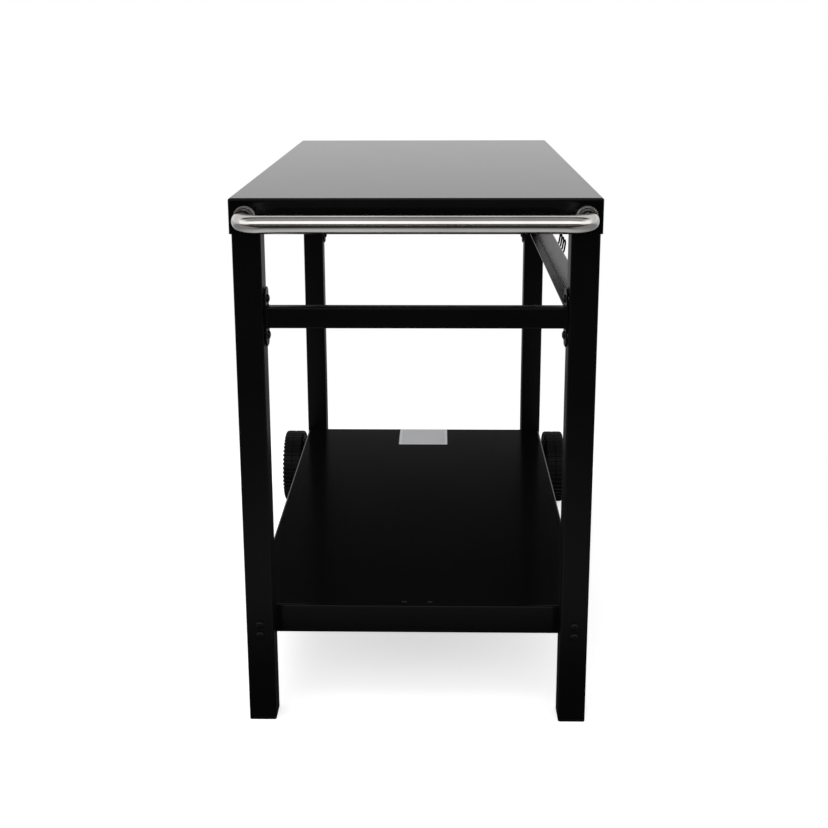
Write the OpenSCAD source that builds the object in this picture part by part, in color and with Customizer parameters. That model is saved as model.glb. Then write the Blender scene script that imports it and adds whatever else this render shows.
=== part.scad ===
// Grill cart: a folded-sheet worktop and lower shelf on four square-tube legs,
// with a stainless push handle, a tool rail with four hooks and two rear wheels.
// X is the cart's width, Y its length from the handle to the wheels, and Z is up.
// The origin is on the floor, in the middle of the cart's outer box.

/* [Worktop] */
// Width of the worktop
top_w = 508; // [420:1:640]
// Length of the worktop
top_l = 914; // [760:1:1200]
// Height of the worktop's upper face above the floor
top_h = 787; // [700:1:950]
// Depth of the worktop's folded apron
apron_h = 49; // [44:1:70]
// Thickness of the worktop and shelf sheet
sheet_t = 1.6; // [1:0.1:2.5]
// Outside radius of the folded edges and corners
fold_r = 3.2; // [2.8:0.1:6]
// Width of the stiffening channels under the sheets, flanges included
channel_w = 51; // [44:1:90]
// Height of the stiffening channels
channel_h = 16; // [10:1:24]
// Width of each flange of a stiffening channel
channel_flange = 12; // [9:1:16]
// Distance from a stiffening channel's end to the apron
channel_gap = 6; // [2:1:30]

/* [Legs] */
// Outside width of the square leg tube
leg_w = 40; // [34:1:50]
// Wall of the leg tube
leg_t = 1.8; // [1.2:0.1:3]
// Outside corner radius of the leg tube
leg_r = 3.2; // [2.4:0.1:5]
// Height of a front foot's sole
foot_h = 4; // [2:0.5:10]
// Length of the plug that a foot or cap pushes into the leg
foot_plug = 18; // [10:1:30]
// Wall of a foot's plug
foot_plug_t = 3; // [2:0.1:5]
// Distance from the axle down to the end of a rear leg
leg_below_axle = 30; // [20:1:45]

/* [Crossbars] */
// Height of the crossbar tube
bar_h = 30; // [24:1:40]
// Depth of the crossbar tube
bar_d = 20; // [14:1:30]
// Wall of the crossbar tube
bar_t = 1.5; // [1:0.1:2.5]
// Outside corner radius of the crossbar tube
bar_r = 2.4; // [1.9:0.1:4]
// Height of the crossbars' middle above the floor
bar_z = 618; // [480:1:660]
// Height of the plates at the crossbar's ends
plate_h = 83; // [74:1:110]
// Width of the end plates
plate_w = 30; // [24:1:34]
// Thickness of the end plates
plate_t = 2.5; // [1.5:0.1:5]
// Distance between an end plate's two bolts
plate_pitch = 52; // [50:1:64]

/* [Handle] */
// Outside diameter of the handle tube
handle_d = 24; // [20:0.5:30]
// Wall of the handle tube
handle_t = 1.5; // [1:0.1:2.5]
// Distance from the apron to the middle of the handle's bar
handle_reach = 70; // [55:1:100]
// Radius of the handle's bends, to the middle of the tube
handle_bend = 36; // [24:1:40]
// Distance from the worktop's face down to the middle of the handle
handle_drop = 25; // [20:0.5:26]
// Diameter of the ferrule round each end of the handle
ferrule_d = 30; // [28:0.5:36]
// Length of the ferrule
ferrule_l = 7; // [4:0.5:12]
// Diameter of the ferrule's front step
ferrule_step_d = 27.4; // [26:0.2:32]
// Length of the threaded plug in each end of the handle
plug_l = 22; // [14:1:30]

/* [Tool rail] */
// Height of the tool rail's upright web
rail_h = 52; // [44:1:70]
// Width of the tool rail's lower flange
rail_flange = 13; // [8:1:16]
// Thickness of the tool rail's sheet
rail_t = 2; // [1.2:0.1:3]
// Height of the tool rail's lower flange above the floor
rail_z = 611; // [560:1:660]
// Distance from a leg's inner face out to the tool rail's web
rail_in = 17.3; // [14:0.1:20]
// Distance between the two bolts of a tool rail's tab
rail_pitch = 28; // [22:1:36]

/* [Hooks] */
// Diameter of the hook wire
wire_d = 3; // [2:0.1:4]
// Radius of the hook's lower bend, to the middle of the wire
hook_bend = 12; // [9:0.5:18]
// Angle by which the hook's straight part leans out from upright
hook_lean = 9; // [0:1:20]
// Length of the hook's straight part
hook_rise = 8.9; // [4:0.1:20]
// Radius of the inward curl at the hook's tip, to the middle of the wire
hook_curl = 17.5; // [8:0.5:30]
// Angle through which the tip curls
hook_curl_turn = 26.5; // [10:0.5:60]
// Distance between the hooks along the rail
hook_pitch = 29; // [20:1:60]
// Height of the hooks' roots above the rail's lower flange
hook_root_z = 22.9; // [16:0.1:30]
// Diameter of the pad that joins a hook to the rail
hook_pad_d = 9; // [7:0.5:12]
// Thickness of the pad
hook_pad_t = 1.5; // [1:0.1:3]

/* [Shelf] */
// Height of the shelf's upper face above the floor
shelf_z = 168; // [150:1:300]
// Depth of the shelf's folded apron
shelf_apron = 44; // [36:1:60]
// Distance from the legs' outer faces in to the shelf's sides
shelf_inset = 2.3; // [0:0.1:6]
// Distance from the shelf's face down to the upper bolt in each leg
shelf_bolt_drop = 12.5; // [10:0.5:14]
// Distance between the two shelf bolts in each leg
shelf_bolt_pitch = 16.5; // [14:0.5:18]
// Distance from the shelf's ends to its rivets
rivet_y = 11; // [10:1:40]
// Diameter of a rivet's body
rivet_d = 3.2; // [2.4:0.1:4.8]
// Width of the label
label_w = 101; // [40:1:140]
// Length of the label, along the cart
label_l = 97; // [30:1:120]
// Thickness of the label
label_t = 0.3; // [0.2:0.05:1]
// Distance from the label to the shelf's rear edge
label_gap = 4; // [4:1:40]

/* [Wheels] */
// Diameter of a wheel
wheel_d = 152.4; // [120:0.1:200]
// Width of a wheel
wheel_w = 41.5; // [30:0.5:60]
// Depth of the tyre, from its tread to the rim
tyre_depth = 17; // [12:1:26]
// Radius of the tyre's shoulders
shoulder_r = 5.5; // [3:0.1:9]
// Number of tread ribs round a tyre
tread_ribs = 48; // [24:4:60]
// Depth of the grooves between the tread ribs
tread_depth = 1.2; // [0.6:0.1:3]
// Width of a groove between two tread ribs
tread_gap = 3.6; // [2:0.1:4]
// Thickness of the rim's web
web_t = 5; // [3:0.5:10]
// Wall of the rim's outer ring
rim_t = 5; // [3:0.5:9]
// Diameter of the wheel's hub
hub_d = 32; // [26:1:44]
// Length of the wheel's hub, which starts at the wheel's inner side
hub_l = 28; // [22:0.5:29]
// Number of spokes on each side of the rim's web
spokes = 6; // [3:1:10]
// Width of a spoke
spoke_w = 5; // [3:0.5:8]
// Height of a spoke, measured across both faces of the web
spoke_h = 14; // [11:0.5:15]
// Diameter of the axle
axle_d = 10; // [8:0.5:14]
// Length of the spacer between a rear leg and its wheel
spacer_l = 10.2; // [6:0.1:20]
// Diameter of the spacer
spacer_d = 20; // [18:0.5:26]

/* [Fasteners] */
// Diameter of the frame bolts
bolt_d = 6; // [5:0.5:6.5]
// Diameter of a frame bolt's domed head
head_d = 12; // [10.5:0.5:13.5]
// Height of a domed head
head_h = 3.6; // [2.5:0.1:5]
// Height of the flatter heads on the worktop's side bolts
side_head_h = 2; // [1.6:0.1:5]
// Width across flats of the head's hexagon socket
socket_af = 4; // [3:0.5:5]
// Diameter of a threaded insert's flange
insert_flange_d = 12; // [11.5:0.5:13]
// Thickness of a threaded insert's flange
insert_flange_t = 1.2; // [0.6:0.1:2]
// Outside diameter of a threaded insert's barrel
insert_d = 9; // [8.5:0.1:10]
// Length of a threaded insert
insert_l = 11; // [8:0.5:14]
// Thickness of a washer
washer_t = 1.6; // [1:0.1:2.5]
// Height of a frame nut
nut_h = 5; // [4:0.5:6]
// Width across flats of a frame nut
nut_af = 10; // [9:0.5:11]
// Height of an axle nut
axle_nut_h = 9; // [6:0.5:14]
// Width across flats of an axle nut
axle_nut_af = 17; // [15:0.5:22]

/* [Clearances] */
// Radial clearance of a bolt in a plain hole
hole_gap = 0.25; // [0.1:0.05:0.5]
// Radial clearance between a thread and its insert, nut or plug
thread_gap = 0.05; // [0.02:0.01:0.1]
// Radial running clearance of a wheel on its axle
run_gap = 0.08; // [0.04:0.01:0.1]
// Clearance between parts that push together
push_gap = 0.1; // [0.05:0.05:0.3]
// Side play of a wheel on each side of its hub
side_play = 0.3; // [0.2:0.1:1]

/* [Hidden] */

$fn = 48;
// Extra length of a cutting shape past the face it cuts
cut = 1;

// Places along the cart
leg_inset = sheet_t + insert_flange_t;
rear_overhang = max(0, wheel_d / 2 - leg_inset - leg_w / 2);
handle_front = handle_reach + handle_d / 2;
overall_l = handle_front + top_l + rear_overhang;
top_y0 = handle_front - overall_l / 2;
top_y1 = top_y0 + top_l;
top_yc = (top_y0 + top_y1) / 2;
front_leg_y = top_y0 + leg_inset + leg_w / 2;
rear_leg_y = top_y1 - leg_inset - leg_w / 2;
axle_z = wheel_d / 2;

// Places across the cart
leg_x = top_w / 2 - leg_inset - leg_w / 2;
leg_outer = leg_x + leg_w / 2;
leg_inner = leg_x - leg_w / 2;
plate_x = leg_inner - insert_flange_t;
rail_x = leg_inner + rail_in;
wheel_in = leg_outer + spacer_l + side_play;
wheel_x = wheel_in + wheel_w / 2;

// The legs reach up to the worktop's underside
leg_top = top_h - sheet_t;
rear_leg_bottom = axle_z - leg_below_axle;

// The shelf fills the space between the front and the rear legs
shelf_y0 = front_leg_y + leg_w / 2;
shelf_y1 = rear_leg_y - leg_w / 2;
shelf_l = shelf_y1 - shelf_y0;
shelf_yc = (shelf_y0 + shelf_y1) / 2;
shelf_w = 2 * (leg_outer - shelf_inset);
shelf_bolt_z = [shelf_z - shelf_bolt_drop, shelf_z - shelf_bolt_drop - shelf_bolt_pitch];
rivet_x = (channel_w - channel_flange) / 2;

// The worktop's side bolts, one above the other
side_bolt_z = [top_h - apron_h / 3, top_h - 2 * apron_h / 3];
handle_z = top_h - handle_drop;
bar_bolt_z = [bar_z - plate_pitch / 2, bar_z + plate_pitch / 2];

// The tool rail and its hooks
rail_y0 = shelf_y0;
rail_y1 = shelf_y1;
rail_tab_w = leg_outer - rail_x - rail_t;
rail_tab_x = rail_x + rail_t + rail_tab_w / 2;
rail_bolt_z = [rail_z + (rail_h - rail_pitch) / 2, rail_z + (rail_h + rail_pitch) / 2];
hook_count = 4;

bolt_hole_r = bolt_d / 2 + hole_gap;
insert_hole_r = insert_d / 2 + push_gap;
tyre_r = wheel_d / 2;
rim_r = tyre_r - tyre_depth;
hub_end = wheel_in + hub_l;
axle_nut_x = hub_end + side_play + washer_t;
axle_end = axle_nut_x + axle_nut_h + 1;

// Colours
black_coat = [0.07, 0.07, 0.075];
black_gloss = [0.10, 0.10, 0.105];
steel = [0.78, 0.77, 0.75];
zinc = [0.62, 0.62, 0.63];
bolt_black = [0.13, 0.13, 0.13];
plastic = [0.09, 0.09, 0.09];
rubber = [0.05, 0.05, 0.05];
label_grey = [0.68, 0.68, 0.68];

// Flat rectangle with round corners, centred
module rounded_rect(w, l, r) {
    square([w - 2 * r, l], center = true);
    square([w, l - 2 * r], center = true);
    for (x = [-1, 1], y = [-1, 1])
        translate([x * (w / 2 - r), y * (l / 2 - r)])
            circle(r = r);
}

// Upright section of a tray: square below, with two round upper corners at y = 0
module tray_section(w, h, r) {
    translate([-w / 2, -h])
        square([w, h - r]);
    translate([r - w / 2, -h])
        square([w - 2 * r, h]);
    for (x = [-1, 1])
        translate([x * (w / 2 - r), -r])
            circle(r = r);
}

// Solid block below z = 0 whose upper edges and upright corners are round
module tray_block(w, l, h, r) {
    intersection() {
        translate([0, 0, -h])
            linear_extrude(h)
                rounded_rect(w, l, r);
        rotate([90, 0, 0])
            linear_extrude(l + 2 * cut, center = true)
                tray_section(w, h, r);
        rotate([90, 0, 90])
            linear_extrude(w + 2 * cut, center = true)
                tray_section(l, h, r);
    }
}

// Sheet tray, open below, with its upper face at z = 0
module tray(w, l, h) {
    difference() {
        tray_block(w, l, h, fold_r);
        translate([0, 0, -sheet_t])
            tray_block(w - 2 * sheet_t, l - 2 * sheet_t, h, fold_r - sheet_t);
    }
}

// Section of a square or oblong tube, centred
module tube_section(w, l, t, r) {
    difference() {
        rounded_rect(w, l, r);
        rounded_rect(w - 2 * t, l - 2 * t, r - t);
    }
}

// Round hole or rod along X, centred
module rod_x(r, l) {
    rotate([0, 90, 0])
        cylinder(r = r, h = l, center = true);
}

// Round hole or rod along Y, centred
module rod_y(r, l) {
    rotate([90, 0, 0])
        cylinder(r = r, h = l, center = true);
}

// Domed socket-head bolt: the head stands above z = 0 and the shank goes down
module dome_bolt(l, h = head_h) {
    dome_r = (head_d * head_d / 4 + h * h) / (2 * h);
    difference() {
        rotate_extrude() {
            intersection() {
                translate([0, h - dome_r])
                    circle(r = dome_r, $fn = 128);
                square([head_d / 2, h]);
            }
            translate([0, -l])
                square([bolt_d / 2, l]);
        }
        translate([0, 0, h / 3])
            cylinder(d = socket_af / cos(30), h = h, $fn = 6);
    }
}

// Threaded insert: its flange stands above z = 0 and its barrel goes down
module threaded_insert() {
    difference() {
        union() {
            cylinder(d = insert_flange_d, h = insert_flange_t);
            translate([0, 0, -insert_l])
                cylinder(d = insert_d, h = insert_l);
        }
        translate([0, 0, -insert_l - cut])
            cylinder(r = bolt_d / 2 + thread_gap, h = insert_l + insert_flange_t + 2 * cut);
    }
}

// Hexagon nut from z = 0 up, on a thread of the given diameter
module hex_nut(d, af, h) {
    difference() {
        cylinder(d = af / cos(30), h = h, $fn = 6);
        translate([0, 0, -cut])
            cylinder(r = d / 2 + thread_gap, h = h + 2 * cut);
    }
}

// Stiffening channel of hat section, hung under z = 0 along Y
module hat_channel(l) {
    rib_w = channel_w - 2 * channel_flange;
    rotate([90, 0, 0])
        linear_extrude(l, center = true) {
            for (x = [-1, 1]) {
                translate([x * rivet_x, -sheet_t / 2])
                    square([channel_flange, sheet_t], center = true);
                translate([x * (rib_w - sheet_t) / 2, -channel_h / 2])
                    square([sheet_t, channel_h], center = true);
                translate([x * rib_w / 2, -sheet_t / 2])
                    square([2 * sheet_t, sheet_t], center = true);
            }
            translate([0, sheet_t / 2 - channel_h])
                square([rib_w, sheet_t], center = true);
        }
}

// The worktop and what fastens it

module worktop() {
    color(black_gloss)
        difference() {
            translate([0, top_yc, top_h])
                tray(top_w, top_l, apron_h);
            for (side = [-1, 1]) {
                for (y = [front_leg_y, rear_leg_y], z = side_bolt_z)
                    translate([side * top_w / 2, y, z])
                        rod_x(bolt_hole_r, 4 * sheet_t);
                translate([side * leg_x, top_y0, handle_z])
                    rod_y(bolt_hole_r, 4 * sheet_t);
            }
        }
}

module worktop_channel() {
    color(black_coat)
        translate([0, top_yc, top_h - sheet_t])
            hat_channel(top_l - 2 * sheet_t - 2 * channel_gap);
}

module worktop_bolts() {
    color(bolt_black)
        for (side = [-1, 1], y = [front_leg_y, rear_leg_y], z = side_bolt_z)
            translate([side * top_w / 2, y, z])
                rotate([0, side * 90, 0])
                    dome_bolt(leg_inset + insert_l - cut, side_head_h);
}

module worktop_inserts() {
    color(zinc)
        for (side = [-1, 1], y = [front_leg_y, rear_leg_y], z = side_bolt_z)
            translate([side * leg_outer, y, z])
                rotate([0, side * 90, 0])
                    threaded_insert();
}

// The push handle

// One end and bend of the handle, from the apron to the middle of the bar
module handle_half(r, side, over) {
    bend_y = top_y0 - handle_reach + handle_bend;
    bar_half = leg_x - handle_bend;
    translate([side * leg_x, (top_y0 + bend_y) / 2 + over / 2, handle_z])
        rod_y(r, top_y0 - bend_y + over);
    translate([side * bar_half, bend_y, handle_z])
        rotate([0, 0, side > 0 ? -90 : 180])
            rotate_extrude(angle = 90)
                translate([handle_bend, 0])
                    circle(r = r);
    translate([side * bar_half / 2, top_y0 - handle_reach, handle_z])
        rod_x(r, bar_half);
}

module handle_tube() {
    color(steel)
        difference() {
            union()
                for (side = [-1, 1])
                    handle_half(handle_d / 2, side, 0);
            for (side = [-1, 1])
                handle_half(handle_d / 2 - handle_t, side, cut);
        }
}

module handle_ferrule(side) {
    color(steel)
        translate([side * leg_x, top_y0, handle_z])
            rotate([90, 0, 0])
                difference() {
                    union() {
                        cylinder(d = ferrule_d, h = ferrule_l / 2);
                        cylinder(d = ferrule_step_d, h = ferrule_l);
                    }
                    translate([0, 0, -cut])
                        cylinder(r = handle_d / 2 + push_gap, h = ferrule_l + 2 * cut);
                }
}

module handle_plugs() {
    color(zinc)
        for (side = [-1, 1])
            translate([side * leg_x, top_y0 - plug_l / 2, handle_z])
                difference() {
                    rod_y(handle_d / 2 - handle_t - push_gap, plug_l);
                    rod_y(bolt_d / 2 + thread_gap, plug_l + 2 * cut);
                }
}

// Each handle bolt passes through the front leg and the apron into the plug
module handle_bolts() {
    color(bolt_black)
        for (side = [-1, 1])
            translate([side * leg_x, front_leg_y + leg_w / 2, handle_z])
                rotate([-90, 0, 0])
                    dome_bolt(leg_w + leg_inset + plug_l / 2);
}

// The legs

// A plain leg tube from z0 up to the worktop
module leg_tube(x, y, z0) {
    translate([x, y, z0])
        linear_extrude(leg_top - z0)
            tube_section(leg_w, leg_w, leg_t, leg_r);
}

// Holes that every leg has, for worktop inserts, crossbar inserts and shelf bolts
module leg_holes(side, y) {
    for (z = side_bolt_z)
        translate([side * leg_outer, y, z])
            rod_x(insert_hole_r, 4 * leg_t);
    for (z = bar_bolt_z)
        translate([side * leg_inner, y, z])
            rod_x(insert_hole_r, 4 * leg_t);
    for (z = shelf_bolt_z)
        translate([side * leg_x, y, z])
            rod_y(bolt_hole_r, leg_w + 2 * cut);
}

// Holes for the tool rail's inserts, in the face that looks along the cart
module rail_holes(y) {
    for (z = rail_bolt_z)
        translate([rail_tab_x, y, z])
            rod_y(insert_hole_r, 4 * leg_t);
}

module front_leg(side) {
    color(black_coat)
        difference() {
            leg_tube(side * leg_x, front_leg_y, foot_h);
            leg_holes(side, front_leg_y);
            translate([side * leg_x, front_leg_y, handle_z])
                rod_y(bolt_hole_r, leg_w + 2 * cut);
            if (side > 0)
                rail_holes(rail_y0);
        }
}

module rear_leg(side) {
    color(black_coat)
        difference() {
            leg_tube(side * leg_x, rear_leg_y, rear_leg_bottom);
            leg_holes(side, rear_leg_y);
            translate([side * leg_x, rear_leg_y, axle_z])
                rod_x(axle_d / 2 + hole_gap, leg_w + 2 * cut);
            if (side > 0)
                rail_holes(rail_y1);
        }
}

// A plastic sole or cap with a hollow plug that pushes up into the tube
module leg_cap(x, y, z, sole) {
    plug_w = leg_w - 2 * leg_t - 2 * push_gap;
    translate([x, y, z])
        union() {
            linear_extrude(sole)
                rounded_rect(leg_w, leg_w, leg_r);
            translate([0, 0, sole])
                linear_extrude(foot_plug)
                    tube_section(plug_w, plug_w, foot_plug_t, foot_plug_t + leg_r - leg_t);
        }
}

module front_foot(side) {
    color(plastic)
        leg_cap(side * leg_x, front_leg_y, 0, foot_h);
}

module rear_cap(side) {
    color(plastic)
        leg_cap(side * leg_x, rear_leg_y, rear_leg_bottom - foot_h, foot_h);
}

// The crossbars between each pair of legs

module crossbar(y) {
    color(black_coat)
        translate([0, y, bar_z])
            rotate([90, 0, 90])
                linear_extrude(2 * (plate_x - plate_t), center = true)
                    tube_section(bar_d, bar_h, bar_t, bar_r);
}

// Two end plates with clipped corners, one against each leg
module crossbar_plates(y) {
    clip = plate_w / 4;
    color(black_coat)
        for (side = [-1, 1])
            translate([side * (plate_x - plate_t / 2), y, bar_z])
                difference() {
                    rotate([90, 0, 90])
                        linear_extrude(plate_t, center = true)
                            polygon([
                                [-plate_w / 2, clip - plate_h / 2],
                                [clip - plate_w / 2, -plate_h / 2],
                                [plate_w / 2 - clip, -plate_h / 2],
                                [plate_w / 2, clip - plate_h / 2],
                                [plate_w / 2, plate_h / 2 - clip],
                                [plate_w / 2 - clip, plate_h / 2],
                                [clip - plate_w / 2, plate_h / 2],
                                [-plate_w / 2, plate_h / 2 - clip]
                            ]);
                    for (z = [-1, 1])
                        translate([0, 0, z * plate_pitch / 2])
                            rod_x(bolt_hole_r, plate_t + 2 * cut);
                }
}

module crossbar_bolts(y) {
    color(bolt_black)
        for (side = [-1, 1], z = bar_bolt_z)
            translate([side * (plate_x - plate_t), y, z])
                rotate([0, -side * 90, 0])
                    dome_bolt(plate_t + insert_flange_t + insert_l - cut);
}

module crossbar_inserts(y) {
    color(zinc)
        for (side = [-1, 1], z = bar_bolt_z)
            translate([side * leg_inner, y, z])
                rotate([0, -side * 90, 0])
                    threaded_insert();
}

// The tool rail on the right-hand side

// Angle with an upright web, an inward lower flange and a bolting tab at each end
module tool_rail() {
    rail_l = rail_y1 - rail_y0 - 2 * insert_flange_t;
    color(black_coat)
        difference() {
            union() {
                translate([rail_x, rail_y0 + insert_flange_t, rail_z])
                    cube([rail_t, rail_l, rail_h]);
                translate([rail_x - rail_flange, rail_y0 + insert_flange_t, rail_z])
                    cube([rail_flange + rail_t, rail_l, rail_t]);
                for (y = [rail_y0 + insert_flange_t, rail_y1 - insert_flange_t - rail_t])
                    translate([rail_x, y, rail_z])
                        cube([rail_tab_w + rail_t, rail_t, rail_h]);
            }
            for (y = [rail_y0, rail_y1], z = rail_bolt_z)
                translate([rail_tab_x, y, z])
                    rod_y(bolt_hole_r, 2 * (insert_flange_t + rail_t + cut));
        }
}

module tool_rail_bolts() {
    seat = insert_flange_t + rail_t;
    color(bolt_black)
        for (z = rail_bolt_z) {
            translate([rail_tab_x, rail_y0 + seat, z])
                rotate([-90, 0, 0])
                    dome_bolt(seat + insert_l - cut);
            translate([rail_tab_x, rail_y1 - seat, z])
                rotate([90, 0, 0])
                    dome_bolt(seat + insert_l - cut);
        }
}

module tool_rail_inserts() {
    color(zinc)
        for (z = rail_bolt_z) {
            translate([rail_tab_x, rail_y0, z])
                rotate([-90, 0, 0])
                    threaded_insert();
            translate([rail_tab_x, rail_y1, z])
                rotate([90, 0, 0])
                    threaded_insert();
        }
}

// Arc of wire in the XZ plane, round the origin, from one angle to another
module wire_arc(r, from, to) {
    rotate([90, 0, 0])
        rotate([0, 0, from])
            rotate_extrude(angle = to - from)
                translate([r, 0])
                    circle(d = wire_d);
}

// Wire hook on its pad, leaning out as one piece, with a curl at its tip
module hook(i) {
    y = shelf_yc + (i - (hook_count + 1) / 2) * hook_pitch;
    rise_x = hook_pad_t + hook_bend;
    color(black_coat)
        translate([rail_x + rail_t, y, rail_z + hook_root_z]) {
            rotate([0, 90, 0])
                cylinder(d = hook_pad_d, h = hook_pad_t);
            rotate([0, hook_lean, 0])
                union() {
                    translate([hook_pad_t / 2, 0, 0])
                        rotate([0, 90, 0])
                            cylinder(d = wire_d, h = hook_pad_t / 2);
                    translate([hook_pad_t, 0, hook_bend])
                        wire_arc(hook_bend, -90, 0);
                    translate([rise_x, 0, hook_bend])
                        cylinder(d = wire_d, h = hook_rise);
                    translate([rise_x - hook_curl, 0, hook_bend + hook_rise]) {
                        wire_arc(hook_curl, 0, hook_curl_turn);
                        rotate([0, -hook_curl_turn, 0])
                            translate([hook_curl, 0, 0])
                                sphere(d = wire_d);
                    }
                }
        }
}

// The lower shelf

module shelf() {
    color(black_gloss)
        difference() {
            translate([0, shelf_yc, shelf_z])
                tray(shelf_w, shelf_l, shelf_apron);
            for (side = [-1, 1], y = [shelf_y0, shelf_y1], z = shelf_bolt_z)
                translate([side * leg_x, y, z])
                    rod_y(bolt_hole_r, 4 * sheet_t);
            for (side = [-1, 1], y = [shelf_y0 + rivet_y, shelf_y1 - rivet_y])
                translate([side * rivet_x, y, shelf_z])
                    cylinder(r = rivet_d / 2 + push_gap, h = 4 * sheet_t, center = true);
        }
}

module shelf_channel() {
    color(black_coat)
        difference() {
            translate([0, shelf_yc, shelf_z - sheet_t])
                hat_channel(shelf_l - 2 * sheet_t - 2);
            for (side = [-1, 1], y = [shelf_y0 + rivet_y, shelf_y1 - rivet_y])
                translate([side * rivet_x, y, shelf_z - sheet_t])
                    cylinder(r = rivet_d / 2 + push_gap, h = 4 * sheet_t, center = true);
        }
}

// A blind rivet's body, flush with the shelf's face, and its bulb below the channel's flange
module rivet_body() {
    grip = 2 * sheet_t;
    translate([0, 0, -grip])
        cylinder(d = rivet_d, h = grip);
    translate([0, 0, -grip - rivet_d])
        cylinder(d = 1.5 * rivet_d, h = rivet_d);
}

// Four rivets hold the channel. The front pair has domed heads, and the rear pair is flush below the label
module shelf_rivets() {
    color(bolt_black)
        for (side = [-1, 1]) {
            translate([side * rivet_x, shelf_y0 + rivet_y, shelf_z]) {
                rivet_body();
                cylinder(d1 = 2 * rivet_d, d2 = 1.2 * rivet_d, h = rivet_d / 3);
            }
            translate([side * rivet_x, shelf_y1 - rivet_y, shelf_z])
                rivet_body();
        }
}

// Two bolts pass right through each leg into the shelf's apron, from the cart's ends
module shelf_bolts() {
    bolt_l = leg_w + sheet_t + nut_h + 2;
    color(bolt_black)
        for (side = [-1, 1], z = shelf_bolt_z) {
            translate([side * leg_x, front_leg_y - leg_w / 2, z])
                rotate([90, 0, 0])
                    dome_bolt(bolt_l);
            translate([side * leg_x, rear_leg_y + leg_w / 2, z])
                rotate([-90, 0, 0])
                    dome_bolt(bolt_l);
        }
}

module shelf_nuts() {
    color(zinc)
        for (side = [-1, 1], z = shelf_bolt_z) {
            translate([side * leg_x, shelf_y0 + sheet_t, z])
                rotate([-90, 0, 0])
                    hex_nut(bolt_d, nut_af, nut_h);
            translate([side * leg_x, shelf_y1 - sheet_t, z])
                rotate([90, 0, 0])
                    hex_nut(bolt_d, nut_af, nut_h);
        }
}

module label_plate() {
    color(label_grey)
        translate([0, shelf_y1 - label_gap - label_l / 2, shelf_z])
            linear_extrude(label_t)
                square([label_w, label_l], center = true);
}

// The axle and wheels

module axle() {
    color(zinc)
        translate([0, rear_leg_y, axle_z])
            rod_x(axle_d / 2, 2 * axle_end);
}

// Ring round the axle line from x0 outwards, on one side of the cart
module axle_ring(side, x0, l, d, gap) {
    translate([side * (x0 + l / 2), rear_leg_y, axle_z])
        difference() {
            rod_x(d / 2, l);
            rod_x(axle_d / 2 + gap, l + 2 * cut);
        }
}

module axle_spacers() {
    color(plastic)
        for (side = [-1, 1])
            axle_ring(side, leg_outer, spacer_l, spacer_d, push_gap);
}

module axle_washers() {
    color(zinc)
        for (side = [-1, 1])
            axle_ring(side, hub_end + side_play, washer_t, 2 * axle_d, push_gap);
}

module axle_nuts() {
    color(zinc)
        for (side = [-1, 1])
            translate([side * axle_nut_x, rear_leg_y, axle_z])
                rotate([0, side * 90, 0])
                    hex_nut(axle_d, axle_nut_af, axle_nut_h);
}

// Moulded rim: hub, web, spokes on both faces and an outer ring
module wheel_rim(side) {
    ring_r = rim_r - rim_t;
    ring_w = wheel_w - 2 * shoulder_r;
    spoke_l = ring_r - hub_d / 2 + rim_t;
    color(plastic)
        translate([side * wheel_x, rear_leg_y, axle_z])
            rotate([0, side * 90, 0])
                difference() {
                    union() {
                        translate([0, 0, -wheel_w / 2])
                            cylinder(d = hub_d, h = hub_l);
                        cylinder(r = rim_r, h = web_t, center = true);
                        difference() {
                            cylinder(r = rim_r, h = ring_w, center = true);
                            cylinder(r = ring_r, h = wheel_w, center = true);
                        }
                        for (i = [0 : spokes - 1])
                            rotate([0, 0, i * 360 / spokes])
                                translate([(hub_d / 2 + ring_r) / 2, 0, 0])
                                    cube([spoke_l, spoke_w, spoke_h], center = true);
                    }
                    cylinder(r = axle_d / 2 + run_gap, h = wheel_w + 2 * cut, center = true);
                }
}

// Section of the tyre through its axis, with round shoulders
module tyre_section() {
    difference() {
        rounded_rect(2 * tyre_r, wheel_w, shoulder_r);
        square([2 * (rim_r + thread_gap), wheel_w + 2 * cut], center = true);
        translate([-2 * tyre_r, -wheel_w])
            square([2 * tyre_r, 2 * wheel_w]);
    }
}

module wheel_tyre(side) {
    color(rubber)
        translate([side * wheel_x, rear_leg_y, axle_z])
            rotate([0, 90, 0])
                difference() {
                    rotate_extrude($fn = 96)
                        tyre_section();
                    for (i = [0 : tread_ribs - 1])
                        rotate([0, 0, (i + 0.5) * 360 / tread_ribs])
                            translate([tyre_r, 0, 0])
                                cube([2 * tread_depth, tread_gap, wheel_w + 2 * cut],
                                    center = true);
                }
}

worktop();
worktop_channel();
worktop_bolts();
worktop_inserts();
handle_tube();
handle_ferrule(-1);  // handle_ferrule_left
handle_ferrule(1);  // handle_ferrule_right
handle_plugs();
handle_bolts();
front_leg(-1);  // front_leg_left
front_leg(1);  // front_leg_right
rear_leg(-1);  // rear_leg_left
rear_leg(1);  // rear_leg_right
front_foot(-1);  // front_foot_left
front_foot(1);  // front_foot_right
rear_cap(-1);  // rear_cap_left
rear_cap(1);  // rear_cap_right
crossbar(front_leg_y);  // front_crossbar
crossbar_plates(front_leg_y);  // front_crossbar_plates
crossbar_bolts(front_leg_y);  // front_crossbar_bolts
crossbar_inserts(front_leg_y);  // front_crossbar_inserts
crossbar(rear_leg_y);  // rear_crossbar
crossbar_plates(rear_leg_y);  // rear_crossbar_plates
crossbar_bolts(rear_leg_y);  // rear_crossbar_bolts
crossbar_inserts(rear_leg_y);  // rear_crossbar_inserts
tool_rail();
tool_rail_bolts();
tool_rail_inserts();
hook(1);  // hook_1
hook(2);  // hook_2
hook(3);  // hook_3
hook(4);  // hook_4
shelf();
shelf_channel();
shelf_rivets();
shelf_bolts();
shelf_nuts();
label_plate();
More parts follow.
